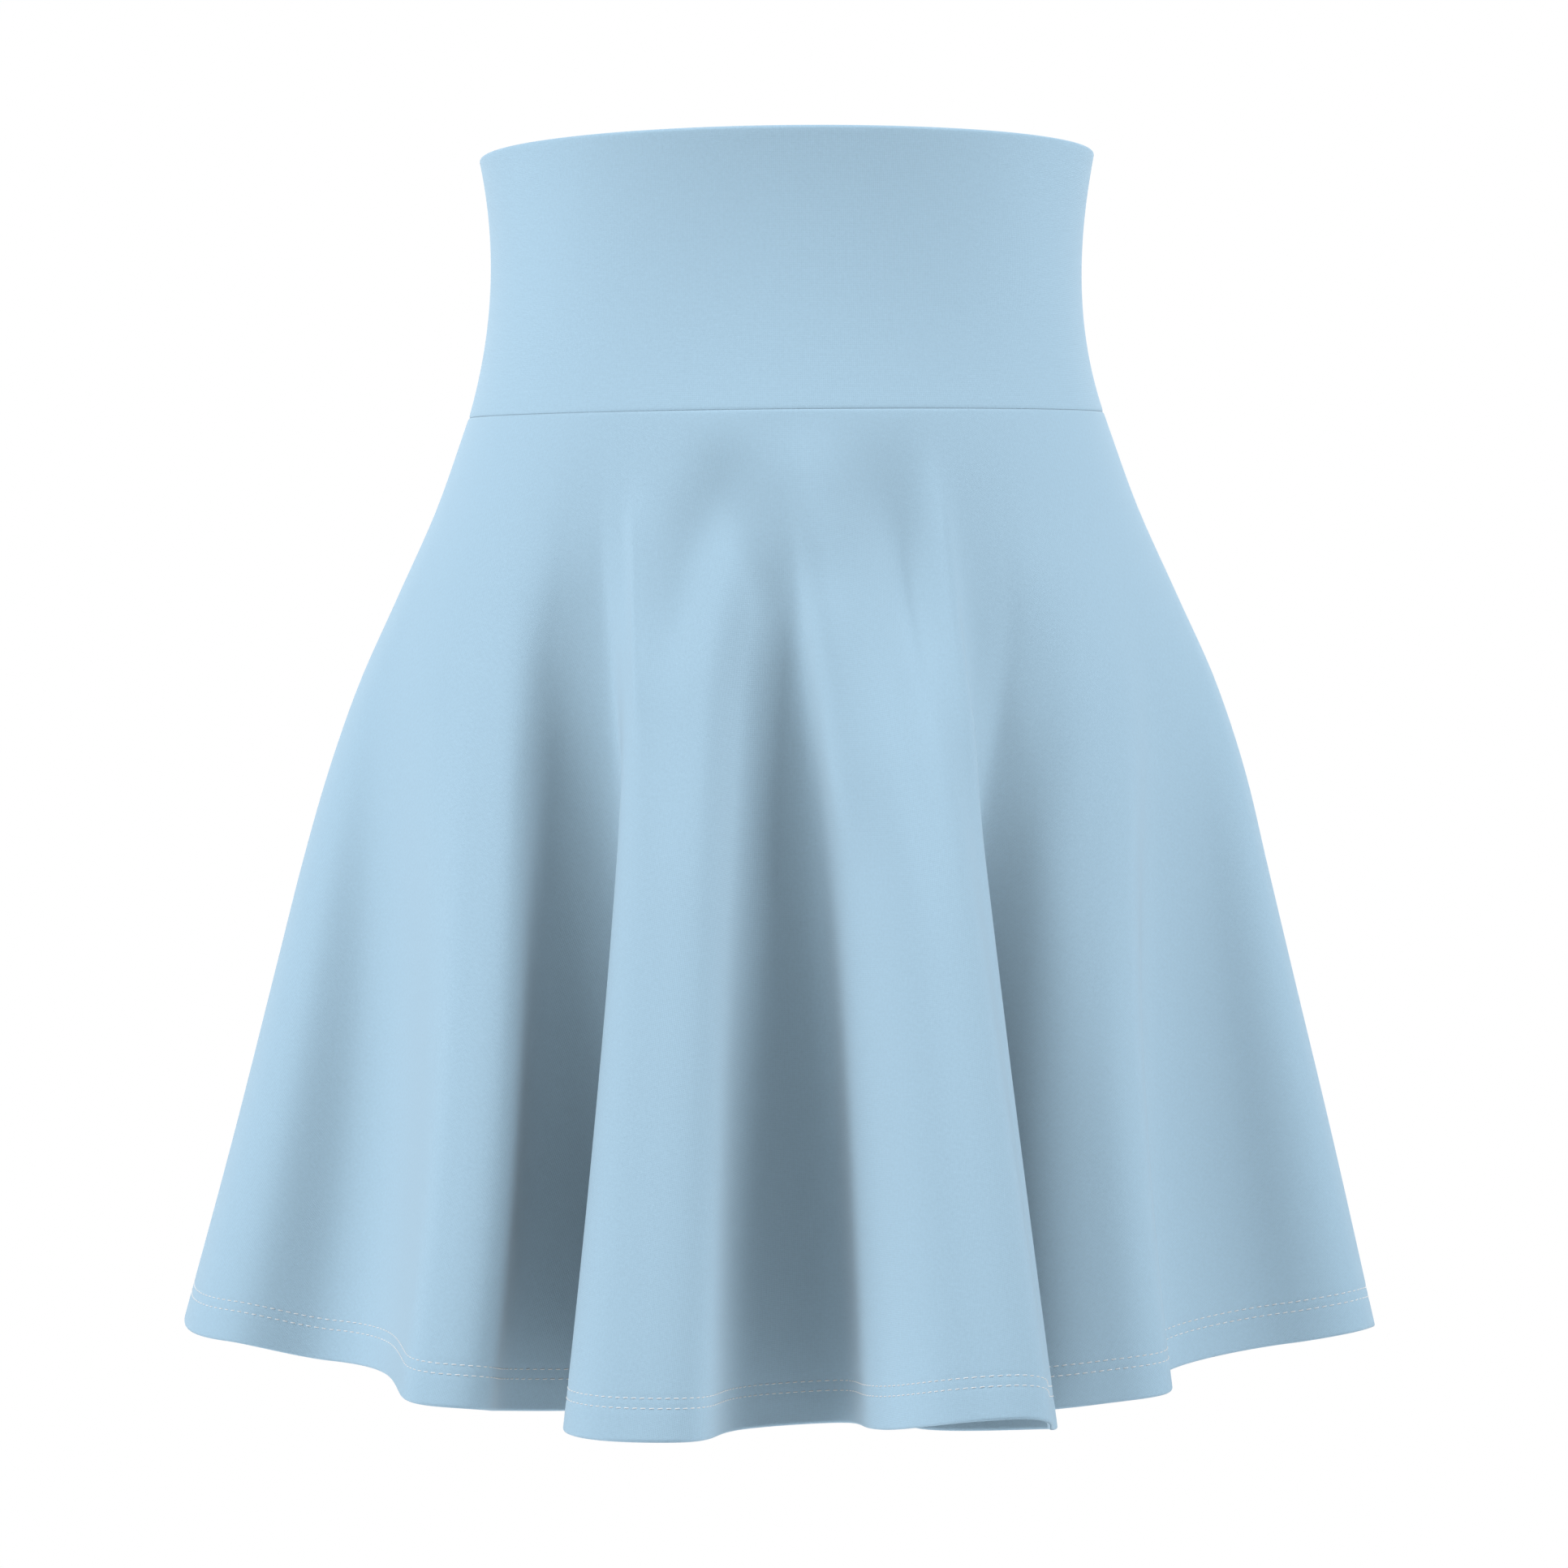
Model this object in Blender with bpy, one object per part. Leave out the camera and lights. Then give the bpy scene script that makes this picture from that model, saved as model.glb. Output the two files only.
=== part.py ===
"""A high-waisted half-circle skirt in light knit cloth, filled out as it is worn.

The frame: +Z is up, -Y is the front, and +X is the wearer's left. The origin is the centre of the
waist, where the band is narrowest. Sizes are in metres here, and in millimetres in the tables.
"""

import math
from collections import namedtuple

import bmesh
import bpy
import numpy as np

MM = 0.001

# The cloth: a single ply, the doubled ply of the turned-up hem, and the doubled ply of the band.
SKIRT_WALL = 1.5 * MM
HEM_WALL = 2.4 * MM
BAND_WALL = 2.4 * MM
SEAM_GAP = 0.3 * MM
HEM_DEPTH = 18.0 * MM
EDGE_ROUNDING = 0.5 * MM  # taken off each side of a wall at a folded or sewn edge
EDGE_ROW = 1.5 * MM  # how far from the edge that rounding starts
SHARP_EDGE = math.radians(50)
CLOTH_BLUE = (0.43, 0.64, 0.80, 1.0)
CLOTH_ROUGHNESS = 0.8

# The mesh: columns round each panel, and rows down it.
BAND_COLUMNS = 30
BAND_ROWS = 7
SKIRT_COLUMNS = 112
SKIRT_ROWS = 8
BEND_PULL = 14.0  # how strongly bends of the hem draw columns closer, in millimetres for each radian

# Level sections of the band, from its folded top edge to the seam. Height is above the waist, at the
# sides. Right and left are the wearer's: the half widths at -X and +X. Front and back are half depths.
Section = namedtuple("Section", "height right left front back")
BAND_SECTIONS = (
    Section(47.0, 117.0, 119.0, 95.0, 95.0),
    Section(33.0, 115.0, 117.5, 93.0, 93.5),
    Section(0.0, 112.5, 114.0, 91.0, 92.0),
    Section(-17.0, 114.0, 115.0, 92.5, 94.0),
    Section(-34.0, 117.0, 118.5, 95.5, 97.5),
    Section(-52.0, 121.0, 122.5, 99.5, 102.0),
)
# The edges of the band dip towards the front, as a waistband does, by this much at the half depth, and
# the band sits slightly lower at -X, by these slopes.
TOP_DIP = 1.5 * MM
TOP_SLOPE = 0.012
SEAM_DIP = 6.0 * MM
SEAM_SLOPE = 0.01

# How far the skirt has spread from the seam to the hem, by share of its drop, at the right side, at the
# left side and at the middle of a panel: quickly over the hips, and late below the belly.
Spread = namedtuple("Spread", "drop right left middle")
SPREADS = (
    Spread(0.0, 0.00, 0.00, 0.00),
    Spread(0.1, 0.11, 0.12, 0.07),
    Spread(0.2, 0.25, 0.27, 0.15),
    Spread(0.3, 0.39, 0.42, 0.24),
    Spread(0.4, 0.50, 0.53, 0.34),
    Spread(0.5, 0.59, 0.61, 0.45),
    Spread(0.6, 0.67, 0.69, 0.56),
    Spread(0.8, 0.83, 0.85, 0.78),
    Spread(1.0, 1.00, 1.00, 1.00),
)
# The smooth hem that the folds depart from.
HEM_SECTION = Section(-402.0, 231.5, 228.0, 190.0, 190.0)

# The bends of the hem, seen from above, in order from the right side (-X) across the front to the left
# side (+X) and back round behind. Each is a short run of cloth: across and forward place its middle,
# facing is the way its outside looks (0 is -X, 90 the front, 180 +X, 270 the back), width is its
# length, hem the height of the hem there, and start the share of the drop at which the fold begins.
Bend = namedtuple("Bend", "name across forward facing width hem start")
BENDS = (
    Bend("side_right", -228, 0, 0, 45, -398, 0.10),
    Bend("right_swell", -207, 65, 60, 15, -400, 0.30),
    Bend("right_hollow", -168, 70, 70, 10, -407, 0.30),
    Bend("right_step", -138, 130, 10, 20, -409, 0.30),
    Bend("right_crest", -118, 160, 85, 20, -411, 0.20),
    Bend("right_valley", -78, 115, 100, 40, -420, 0.10),
    Bend("inner_right_edge", -76, 160, 355, 15, -419, 0.10),
    Bend("inner_right_crest", -47, 195, 85, 25, -418, 0.15),
    Bend("centre_valley", 3, 135, 115, 35, -422, 0.10),
    Bend("inner_left_flank", 33, 175, 25, 15, -417, 0.15),
    Bend("inner_left_crest", 78, 210, 105, 20, -408, 0.15),
    Bend("inner_left_edge", 94, 175, 170, 10, -417, 0.15),
    Bend("left_tuck", 47, 130, 180, 12, -422, 0.20),
    Bend("left_valley", 101, 140, 85, 30, -414, 0.25),
    Bend("left_crest", 132, 135, 130, 10, -411, 0.25),
    Bend("left_step", 138, 105, 185, 15, -410, 0.25),
    Bend("left_hollow", 189, 65, 90, 15, -401, 0.25),
    Bend("left_swell", 217, 55, 150, 10, -397, 0.20),
    Bend("side_left", 224, 0, 180, 45, -402, 0.10),
    Bend("back_left_hollow", 190, -80, 220, 45, -403, 0.30),
    Bend("back_left_crest", 150, -150, 235, 40, -408, 0.20),
    Bend("back_left_valley", 98, -118, 260, 25, -413, 0.20),
    Bend("inner_back_left_crest", 62, -190, 270, 40, -412, 0.10),
    Bend("back_valley", 8, -130, 270, 25, -416, 0.15),
    Bend("inner_back_right_crest", -48, -190, 270, 40, -412, 0.10),
    Bend("back_right_valley", -92, -120, 280, 25, -413, 0.25),
    Bend("back_right_crest", -146, -150, 305, 40, -407, 0.20),
    Bend("back_right_hollow", -196, -80, 325, 45, -402, 0.30),
)
FOLD_SOFTNESS = 0.12  # share of the drop over which a fold eases in
FOLD_EARLINESS = 0.5  # how much faster a fold grows at first than at the hem

PANEL_START = {"front": 0.0, "back": math.pi}  # the angle round the seam where each panel starts
SEAM_HALF_GIRTH = 0.35  # the length of each panel's seam, for trimming the side seams


def clear_scene():
    for obj in list(bpy.data.objects):
        bpy.data.objects.remove(obj)


def periodic_spline(knots, values, period, at):
    """Values at the given places on a closed, twice-smooth cubic curve through the knots."""
    count = len(knots)
    step = np.diff(np.append(knots, knots[0] + period))
    rise = (np.roll(values, -1, axis=0) - values) / step[:, None]
    system = np.zeros((count, count))
    for i in range(count):
        system[i, i - 1] = step[i - 1]
        system[i, i] = 2 * (step[i - 1] + step[i])
        system[i, (i + 1) % count] = step[i]
    bend = np.linalg.solve(system, 6 * (rise - np.roll(rise, 1, axis=0)))
    at = np.mod(np.asarray(at) - knots[0], period) + knots[0]
    i = np.clip(np.searchsorted(knots, at, side="right") - 1, 0, count - 1)
    j = (i + 1) % count
    h = step[i][:, None]
    b = (at - knots[i])[:, None]
    a = h - b
    return (
        (bend[i] * a**3 + bend[j] * b**3) / (6 * h)
        + (values[i] / h - bend[i] * h / 6) * a
        + (values[j] / h - bend[j] * h / 6) * b
    )


def oval(section, angle):
    """Points (across, forward) of a section at angles that run from -X through the front to +X."""
    wide = np.where(np.cos(angle) > 0, section.right, section.left)
    deep = np.where(np.sin(angle) > 0, section.front, section.back)
    return np.stack([-wide * np.cos(angle), deep * np.sin(angle)], axis=-1)


def distances(points):
    """Length along a line of points up to each of them."""
    runs = np.linalg.norm(np.diff(points, axis=0), axis=1)
    return np.concatenate([[0.0], np.cumsum(runs)])


def flowing(knots, values, at):
    """Values at the given places on a smooth curve through the knots that never overshoots them."""
    step = np.diff(knots)
    rise = np.diff(values, axis=0) / step[:, None]
    steady = rise[:-1] * rise[1:] > 0
    total = np.where(steady, rise[:-1] + rise[1:], 1.0)
    slope = np.zeros_like(values)
    slope[1:-1] = np.where(steady, 2 * rise[:-1] * rise[1:] / total, 0.0)
    slope[0], slope[-1] = rise[0], rise[-1]
    i = np.clip(np.searchsorted(knots, at, side="right") - 1, 0, len(step) - 1)
    h = step[i][:, None]
    t = ((at - knots[i]) / step[i])[:, None]
    start = (1 + 2 * t) * values[i] + t * h * slope[i]
    end = (3 - 2 * t) * values[i + 1] - (1 - t) * h * slope[i + 1]
    return (1 - t) ** 2 * start + t**2 * end


def hem_line(samples=4000):
    """The hem as closely spaced rows of across, forward, hem height and fold start, from side to side."""
    points = []
    for bend in BENDS:
        facing = math.radians(bend.facing)
        along = np.array([math.sin(facing), math.cos(facing)]) * bend.width / 2
        middle = np.array([bend.across, bend.forward])
        points += [middle - along, middle + along]
    points = np.array(points)
    knots = distances(np.vstack([points, points[:1]]))
    round_trip = knots[-1]
    middles = (knots[0:-1:2] + knots[1::2]) / 2
    at = middles[0] + np.linspace(0, round_trip, samples + 1)
    plan = periodic_spline(knots[:-1], points, round_trip, at)
    levels = np.array([(bend.hem, bend.start) for bend in BENDS])
    twice = np.concatenate([middles - round_trip, middles, middles + round_trip])
    return np.hstack([plan, flowing(twice, np.tile(levels, (3, 1)), at)])


def panel_hem(panel, hem):
    """The rows of the hem line that belong to a panel."""
    middle = int(np.argmax(hem[:, 0]))
    return hem[: middle + 1] if panel == "front" else hem[middle:]


def panel_columns(panel, run, shares):
    """Seam angles and hem rows at shares of a panel's width. The cut is a ring's sector, so equal shares
    of the hem hang from equal shares of the seam."""
    along_hem = distances(run[:, :2])
    at = shares * along_hem[-1]
    rows = np.stack([np.interp(at, along_hem, column) for column in run.T], axis=1)
    turn = np.linspace(0, math.pi, 721) + PANEL_START[panel]
    along_seam = distances(oval(BAND_SECTIONS[-1], turn))
    return np.interp(shares * along_seam[-1], along_seam, turn), rows


def band_section(height):
    """The band's section at a height above the waist, on a smooth curve through the table."""
    table = np.array(BAND_SECTIONS)[::-1]
    degree = 3
    fit = [np.polyfit(table[:, 0], table[:, i], degree) for i in range(1, 5)]
    return Section(height, *(float(np.polyval(f, height)) for f in fit))


def fold_growth(start, drop):
    """How far folds have come in at a share of the drop: nothing above their start, all at the hem."""
    eased = []
    for place in (0.0, drop, 1.0):
        reach = (place - start) / (1 - start)
        eased.append(reach + np.sqrt(reach**2 + FOLD_SOFTNESS**2))
    share = (eased[1] - eased[0]) / (eased[2] - eased[0])
    return share * (1 + FOLD_EARLINESS * (1 - share))


def skirt_points(angle, rows, drops):
    """The outside of the skirt: points[drop, column] in metres, from the seam down to the hem."""
    seam = oval(band_section(BAND_SECTIONS[-1].height), angle)
    smooth_hem = oval(HEM_SECTION, angle)
    fold = rows[:, :2] - smooth_hem
    seam_height = edge_height(BAND_SECTIONS[-1].height, SEAM_DIP, SEAM_SLOPE, seam, angle) - SEAM_GAP
    table = np.array(SPREADS)
    spreads = flowing(table[:, 0], table[:, 1:], drops)
    sideways, middle = np.cos(angle), np.sin(angle) ** 2
    right = (1 + sideways) / 2 * sideways**2
    left = (1 - sideways) / 2 * sideways**2
    weights = np.stack([right, left, middle], axis=1)
    points = []
    for drop, shares in zip(drops, spreads):
        spread = weights @ shares
        grown = fold_growth(rows[:, 3], drop)
        plan = seam + (smooth_hem - seam) * spread[:, None] + fold * grown[:, None]
        height = seam_height + (rows[:, 2] * MM - seam_height) * drop
        points.append(np.stack([plan[:, 0] * MM, -plan[:, 1] * MM, height], axis=1))
    return np.array(points)


def edge_height(level, dip, slope, plan, angle):
    """The heights of the band's cloth round a section, in metres, with its dip and its side slope."""
    return level * MM - dip * np.sin(angle) + slope * plan[:, 0] * MM


def band_points(angle, shares):
    """The outside of the band: points[share, column], from its top edge down to the seam."""
    top, low = BAND_SECTIONS[0].height, BAND_SECTIONS[-1].height
    points = []
    for share in shares:
        level = top + (low - top) * share
        plan = oval(band_section(level), angle)
        dip = TOP_DIP + (SEAM_DIP - TOP_DIP) * share
        slope = TOP_SLOPE + (SEAM_SLOPE - TOP_SLOPE) * share
        height = edge_height(level, dip, slope, plan, angle)
        points.append(np.stack([plan[:, 0] * MM, -plan[:, 1] * MM, height], axis=1))
    return np.array(points)


def outward(points, drops, level_rows):
    """Unit normals of a closed band of cloth with rows at these drops, level in the rows at a seam."""
    along = np.roll(points, -1, axis=1) - np.roll(points, 1, axis=1)
    down = np.gradient(points, drops, axis=0)
    normals = np.cross(down, along)
    normals[level_rows, :, 2] = 0
    normals /= np.linalg.norm(normals, axis=2, keepdims=True)
    half = points.shape[1] // 2
    for one, other in ((half - 1, half), (-1, 0)):  # the two columns at a side seam face the same way
        shared = normals[:, one] + normals[:, other]
        normals[:, one] = normals[:, other] = shared / np.linalg.norm(shared, axis=1, keepdims=True)
    return normals


def cloth_material():
    material = bpy.data.materials.new("pale_blue_knit")
    material.use_nodes = True
    shader = material.node_tree.nodes["Principled BSDF"]
    shader.inputs["Base Color"].default_value = CLOTH_BLUE
    shader.inputs["Roughness"].default_value = CLOTH_ROUGHNESS
    shader.inputs["Metallic"].default_value = 0.0
    return material


def wall(name, outside, inside, material, collection):
    """A panel as one closed wall: a loft of its outside and its inside, joined along the four edges."""
    rows, columns = outside.shape[:2]
    mesh = bmesh.new()
    outer, inner = (
        [[mesh.verts.new(point) for point in row] for row in side] for side in (outside, inside)
    )
    for i in range(rows - 1):
        for j in range(columns - 1):
            mesh.faces.new((outer[i][j], outer[i + 1][j], outer[i + 1][j + 1], outer[i][j + 1]))
            mesh.faces.new((inner[i][j], inner[i][j + 1], inner[i + 1][j + 1], inner[i + 1][j]))
        for j, (a, b) in ((0, (i, i + 1)), (columns - 1, (i + 1, i))):
            mesh.faces.new((outer[a][j], inner[a][j], inner[b][j], outer[b][j]))
    for i, step in ((0, 1), (rows - 1, -1)):
        for j in range(columns - 1):
            a, b = (j, j + 1)[::step]
            mesh.faces.new((outer[i][a], outer[i][b], inner[i][b], inner[i][a]))
    data = bpy.data.meshes.new(name)
    mesh.to_mesh(data)
    mesh.free()
    data.shade_smooth()
    data.set_sharp_from_angle(angle=SHARP_EDGE)
    data.materials.append(material)
    collection.objects.link(bpy.data.objects.new(name, data))


def both_sides(points, normals, thickness, eased_rows):
    """The outside and the inside of a wall, drawn together by the edge's rounding in some rows."""
    ease = np.zeros(len(points))
    ease[list(eased_rows)] = EDGE_ROUNDING
    outside = points - normals * ease[:, None, None]
    inside = points - normals * (np.asarray(thickness) - ease)[:, None, None]
    return outside, inside


def make_panels(part, points, normals, thickness, eased_rows, columns, material, collection):
    outside, inside = both_sides(points, normals, thickness, eased_rows)
    for panel, span in (("front", slice(0, columns)), ("back", slice(columns, None))):
        wall(f"{part}_{panel}", outside[:, span], inside[:, span], material, collection)


def trimmed(shares, width):
    """Shares of a panel's width, drawn in by half a seam gap at each side seam."""
    edge = SEAM_GAP / 2 / width
    return edge + (1 - 2 * edge) * shares


def closer_at_bends(run, columns):
    """Shares of a panel's width for its columns, closer together where the hem bends tightly."""
    along = distances(run[:, :2])
    legs = np.diff(run[:, :2], axis=0)
    headings = np.unwrap(np.arctan2(legs[:, 0], legs[:, 1]))
    turned = np.concatenate([[0.0, 0.0], np.cumsum(np.abs(np.diff(headings)))])
    pace = along + BEND_PULL * turned
    return np.interp(np.linspace(0, pace[-1], columns), pace, along / along[-1])


def make_skirt(collection, material):
    hem = hem_line()
    parts = []
    for panel in PANEL_START:
        run = panel_hem(panel, hem)
        shares = trimmed(closer_at_bends(run, SKIRT_COLUMNS), SEAM_HALF_GIRTH)
        parts.append(panel_columns(panel, run, shares))
    angle = np.concatenate([part[0] for part in parts])
    rows = np.concatenate([part[1] for part in parts])
    length = (BAND_SECTIONS[-1].height - HEM_SECTION.height) * MM
    hem_share = 1 - HEM_DEPTH / length
    edge_share = EDGE_ROW / length
    body = np.linspace(edge_share, hem_share - edge_share, SKIRT_ROWS)
    drops = np.concatenate([[0.0], body, [hem_share, 1 - edge_share, 1.0]])
    thickness = [SKIRT_WALL] * (SKIRT_ROWS + 1) + [HEM_WALL] * 3
    points = skirt_points(angle, rows, drops)
    normals = outward(points, drops, [0])
    make_panels("skirt", points, normals, thickness, (0, -1), SKIRT_COLUMNS, material, collection)


def make_band(collection, material):
    shares = trimmed(np.linspace(0, 1, BAND_COLUMNS), SEAM_HALF_GIRTH)
    angle = np.concatenate([start + math.pi * shares for start in PANEL_START.values()])
    edge_share = EDGE_ROW / ((BAND_SECTIONS[0].height - BAND_SECTIONS[-1].height) * MM)
    body = np.linspace(edge_share, 1 - edge_share, BAND_ROWS)
    drops = np.concatenate([[0.0], body, [1.0]])
    points = band_points(angle, drops)
    normals = outward(points, drops, [0, -1])
    thickness = [BAND_WALL] * len(points)
    make_panels("waistband", points, normals, thickness, (0, -1), BAND_COLUMNS, material, collection)


def main():
    clear_scene()
    collection = bpy.data.collections.new("half_circle_skirt")
    bpy.context.scene.collection.children.link(collection)
    material = cloth_material()
    make_band(collection, material)
    make_skirt(collection, material)


main()
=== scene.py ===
"""The looks of a high-waisted flared skirt in pale blue knit, filled out as it is worn.

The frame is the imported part's: +Z is up, -Y is the front, and +X is the wearer's left. The origin is the
centre of the waist. Sizes are in metres, and in millimetres in the tables. The tables of the cloth's form
and the curves worked out from them are the part's own. Here the cloth is thinner and on a finer grid, its
panels meet at the seams without the part's gaps, and the creases and the sewing are added.
"""

import math
from collections import namedtuple

import bpy
import numpy as np
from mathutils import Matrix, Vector


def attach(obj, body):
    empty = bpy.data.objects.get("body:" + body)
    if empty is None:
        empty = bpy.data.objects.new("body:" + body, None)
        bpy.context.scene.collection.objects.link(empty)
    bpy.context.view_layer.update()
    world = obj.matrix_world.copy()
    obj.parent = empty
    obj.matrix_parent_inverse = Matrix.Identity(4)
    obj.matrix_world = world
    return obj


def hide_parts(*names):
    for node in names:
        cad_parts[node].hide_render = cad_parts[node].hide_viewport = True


MM = 0.001
BODY = "root"

# ---------------------------------------------------------------- the part's own form

CLOTH_LENGTH = 0.369  # from the seam to the hem, along the cloth

# The flat cut of each skirt panel is a sector of a ring. Each flat size is across and along the cloth.
SECTOR = 1.78  # in radians
SEAM_RADIUS = 0.198
BAND_FLAT = (0.345, 0.103)

# Level sections of the band, from its folded top edge to the seam. Height is above the waist, at the
# sides. Right and left are the wearer's: the half widths at -X and +X. Front and back are half depths.
Section = namedtuple("Section", "height right left front back")
BAND_SECTIONS = (
    Section(47.0, 117.0, 119.0, 95.0, 95.0),
    Section(33.0, 115.0, 117.5, 93.0, 93.5),
    Section(0.0, 112.5, 114.0, 91.0, 92.0),
    Section(-17.0, 114.0, 115.0, 92.5, 94.0),
    Section(-34.0, 117.0, 118.5, 95.5, 97.5),
    Section(-52.0, 121.0, 122.5, 99.5, 102.0),
)
# The edges of the band dip towards the front by this much at the half depth, and the band sits slightly
# lower at -X, by these slopes.
TOP_DIP = 1.5 * MM
TOP_SLOPE = 0.012
SEAM_DIP = 6.0 * MM
SEAM_SLOPE = 0.01

# How far the skirt has spread from the seam to the hem, by share of its drop, at the right side, at the
# left side and at the middle of a panel: quickly over the hips, and late below the belly.
Spread = namedtuple("Spread", "drop right left middle")
SPREADS = (
    Spread(0.0, 0.00, 0.00, 0.00),
    Spread(0.1, 0.11, 0.12, 0.07),
    Spread(0.2, 0.25, 0.27, 0.15),
    Spread(0.3, 0.39, 0.42, 0.24),
    Spread(0.4, 0.50, 0.53, 0.34),
    Spread(0.5, 0.59, 0.61, 0.45),
    Spread(0.6, 0.67, 0.69, 0.56),
    Spread(0.8, 0.83, 0.85, 0.78),
    Spread(1.0, 1.00, 1.00, 1.00),
)
# The smooth hem that the folds depart from.
HEM_SECTION = Section(-402.0, 231.5, 228.0, 190.0, 190.0)

# The bends of the hem, seen from above, in order from the right side (-X) across the front to the left
# side (+X) and back round behind. Each is a short run of cloth: across and forward place its middle,
# facing is the way its outside looks (0 is -X, 90 the front, 180 +X, 270 the back), width is its
# length, hem the height of the hem there, and start the share of the drop at which the fold begins.
Bend = namedtuple("Bend", "name across forward facing width hem start")
BENDS = (
    Bend("side_right", -228, 0, 0, 45, -398, 0.10),
    Bend("right_swell", -207, 65, 60, 15, -400, 0.30),
    Bend("right_hollow", -168, 70, 70, 10, -407, 0.30),
    Bend("right_step", -138, 130, 10, 20, -409, 0.30),
    Bend("right_crest", -118, 160, 85, 20, -411, 0.20),
    Bend("right_valley", -78, 115, 100, 40, -420, 0.10),
    Bend("inner_right_edge", -76, 160, 355, 15, -419, 0.10),
    Bend("inner_right_crest", -47, 195, 85, 25, -418, 0.15),
    Bend("centre_valley", 3, 135, 115, 35, -422, 0.10),
    Bend("inner_left_flank", 33, 175, 25, 15, -417, 0.15),
    Bend("inner_left_crest", 78, 210, 105, 20, -408, 0.15),
    Bend("inner_left_edge", 94, 175, 170, 10, -417, 0.15),
    Bend("left_tuck", 47, 130, 180, 12, -422, 0.20),
    Bend("left_valley", 101, 140, 85, 30, -414, 0.25),
    Bend("left_crest", 132, 135, 130, 10, -411, 0.25),
    Bend("left_step", 138, 105, 185, 15, -410, 0.25),
    Bend("left_hollow", 189, 65, 90, 15, -401, 0.25),
    Bend("left_swell", 217, 55, 150, 10, -397, 0.20),
    Bend("side_left", 224, 0, 180, 45, -402, 0.10),
    Bend("back_left_hollow", 190, -80, 220, 45, -403, 0.30),
    Bend("back_left_crest", 150, -150, 235, 40, -408, 0.20),
    Bend("back_left_valley", 98, -118, 260, 25, -413, 0.20),
    Bend("inner_back_left_crest", 62, -190, 270, 40, -412, 0.10),
    Bend("back_valley", 8, -130, 270, 25, -416, 0.15),
    Bend("inner_back_right_crest", -48, -190, 270, 40, -412, 0.10),
    Bend("back_right_valley", -92, -120, 280, 25, -413, 0.25),
    Bend("back_right_crest", -146, -150, 305, 40, -407, 0.20),
    Bend("back_right_hollow", -196, -80, 325, 45, -402, 0.30),
)
FOLD_SOFTNESS = 0.12  # share of a fold's run over which it eases in
FOLD_EARLINESS = 0.5  # how much faster than evenly a fold grows at first

# How finely lengths are measured along the hem and along each panel's seam.
HEM_SAMPLES = 4000
SEAM_SAMPLES = 721
BAND_CURVE_DEGREE = 3  # of the curve that is fitted to the band's sections

PANEL_START = {"front": 0.0, "back": math.pi}  # the angle round the seam where each panel starts


def periodic_spline(knots, values, period, at):
    """Values at the given places on a closed, twice-smooth cubic curve through the knots."""
    count = len(knots)
    step = np.diff(np.append(knots, knots[0] + period))
    rise = (np.roll(values, -1, axis=0) - values) / step[:, None]
    system = np.zeros((count, count))
    for i in range(count):
        system[i, i - 1] = step[i - 1]
        system[i, i] = 2 * (step[i - 1] + step[i])
        system[i, (i + 1) % count] = step[i]
    bend = np.linalg.solve(system, 6 * (rise - np.roll(rise, 1, axis=0)))
    at = np.mod(np.asarray(at) - knots[0], period) + knots[0]
    i = np.clip(np.searchsorted(knots, at, side="right") - 1, 0, count - 1)
    j = (i + 1) % count
    h = step[i][:, None]
    b = (at - knots[i])[:, None]
    a = h - b
    return (
        (bend[i] * a**3 + bend[j] * b**3) / (6 * h)
        + (values[i] / h - bend[i] * h / 6) * a
        + (values[j] / h - bend[j] * h / 6) * b
    )


def oval(section, angle):
    """Points (across, forward) of a section at angles that run from -X through the front to +X."""
    wide = np.where(np.cos(angle) > 0, section.right, section.left)
    deep = np.where(np.sin(angle) > 0, section.front, section.back)
    return np.stack([-wide * np.cos(angle), deep * np.sin(angle)], axis=-1)


def distances(points):
    """Length along a line of points up to each of them."""
    runs = np.linalg.norm(np.diff(points, axis=0), axis=1)
    return np.concatenate([[0.0], np.cumsum(runs)])


def flowing(knots, values, at):
    """Values at the given places on a smooth curve through the knots that never overshoots them."""
    step = np.diff(knots)
    rise = np.diff(values, axis=0) / step[:, None]
    steady = rise[:-1] * rise[1:] > 0
    total = np.where(steady, rise[:-1] + rise[1:], 1.0)
    slope = np.zeros_like(values)
    slope[1:-1] = np.where(steady, 2 * rise[:-1] * rise[1:] / total, 0.0)
    slope[0], slope[-1] = rise[0], rise[-1]
    i = np.clip(np.searchsorted(knots, at, side="right") - 1, 0, len(step) - 1)
    h = step[i][:, None]
    t = ((at - knots[i]) / step[i])[:, None]
    start = (1 + 2 * t) * values[i] + t * h * slope[i]
    end = (3 - 2 * t) * values[i + 1] - (1 - t) * h * slope[i + 1]
    return (1 - t) ** 2 * start + t**2 * end


def hem_line():
    """The hem as closely spaced rows of across, forward, hem height and fold start, from side to side."""
    points = []
    for bend in BENDS:
        facing = math.radians(bend.facing)
        along = np.array([math.sin(facing), math.cos(facing)]) * bend.width / 2
        middle = np.array([bend.across, bend.forward])
        points += [middle - along, middle + along]
    points = np.array(points)
    knots = distances(np.vstack([points, points[:1]]))
    round_trip = knots[-1]
    middles = (knots[0:-1:2] + knots[1::2]) / 2
    at = middles[0] + np.linspace(0, round_trip, HEM_SAMPLES + 1)
    plan = periodic_spline(knots[:-1], points, round_trip, at)
    levels = np.array([(bend.hem, bend.start) for bend in BENDS])
    thrice = np.concatenate([middles - round_trip, middles, middles + round_trip])
    return np.hstack([plan, flowing(thrice, np.tile(levels, (3, 1)), at)])


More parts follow.
